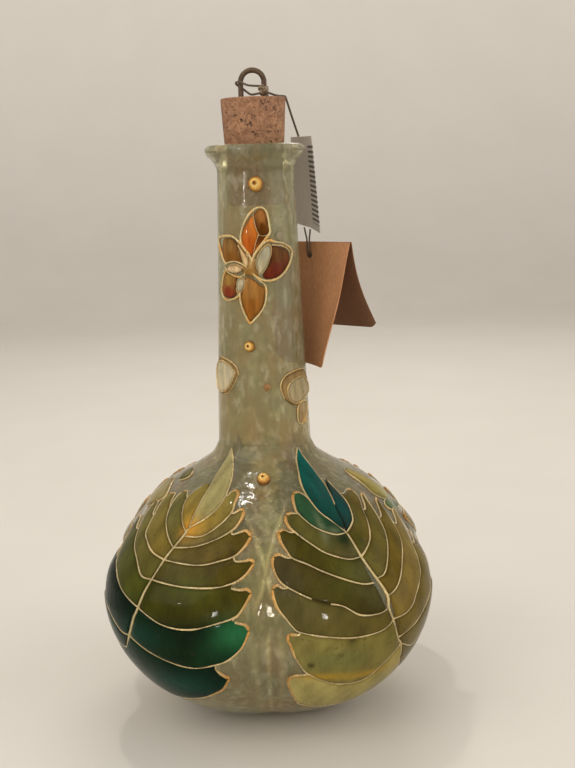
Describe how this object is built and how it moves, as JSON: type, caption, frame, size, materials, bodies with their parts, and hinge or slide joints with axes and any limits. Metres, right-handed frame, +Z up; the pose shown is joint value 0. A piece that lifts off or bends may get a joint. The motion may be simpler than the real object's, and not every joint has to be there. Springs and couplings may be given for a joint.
{
  "type": "carafe",
  "caption": "Blown glass carafe with a low lobed belly and long neck, closed by a looped cork from which a blank ticket and a folded card tag hang.",
  "frame": {"origin": "middle of the flat base, on the bottle's axis", "axes": "+Z up along the bottle, -Y towards the front crease between two lobes, +X to the viewer's right"},
  "size_m": [0.1436, 0.1446, 0.282],
  "materials": {
    "sage_glass": "translucent rippled glass, gloss",
    "leaf_enamel": "glossy enamel with raised gold lines",
    "petal_enamel": "glossy enamel with raised gold lines",
    "gold_paint": "raised gold paint",
    "cork": "natural cork with dark pits",
    "bronze_wire": "dark bronze",
    "twine": "waxed twine",
    "white_card": "blank white card",
    "kraft_card": "blank brown card"
  },
  "bodies": {
    "bottle": {"glass_body": "sage_glass", "leaf_left_front": "leaf_enamel", "leaf_right_front": "leaf_enamel", "leaf_left_back": "leaf_enamel", "leaf_right_back": "leaf_enamel", "flower_relief": "petal_enamel", "bud_left": "petal_enamel", "bud_right": "petal_enamel", "dot_upper": "gold_paint", "dot_middle": "gold_paint", "dot_lower": "gold_paint"},
    "stopper": {"cork_stopper": "cork", "wire_loop": "bronze_wire", "twine_round_leg": "twine", "twine_knot": "twine", "twine_run": "twine"},
    "ticket": {"price_ticket": "white_card"},
    "tag": {"hang_tag_front": "kraft_card", "twine_strand_left": "twine", "twine_strand_right": "twine"},
    "tag_back": {"hang_tag_back": "kraft_card"}
  },
  "joints": [
    {"name": "stopper_lift", "type": "slide", "parent": "bottle", "child": "stopper", "axis": [0, 0, 1], "range_m": [0, 0.06]},
    {"name": "ticket_swing", "type": "hinge", "parent": "stopper", "child": "ticket", "pos_m": [0.0191, 0.017, 0.2533], "axis": [0.6909, -0.723, 0], "range_deg": [0, 60]},
    {"name": "tag_swing", "type": "hinge", "parent": "ticket", "child": "tag", "pos_m": [0.0219, 0.0173, 0.2136], "axis": [0.8, -0.6, 0], "range_deg": [0, 45]},
    {"name": "tag_fold", "type": "hinge", "parent": "tag", "child": "tag_back", "pos_m": [0.0232, 0.018, 0.2067], "axis": [0.788, -0.6157, 0], "range_deg": [-12, 80]}
  ]
}
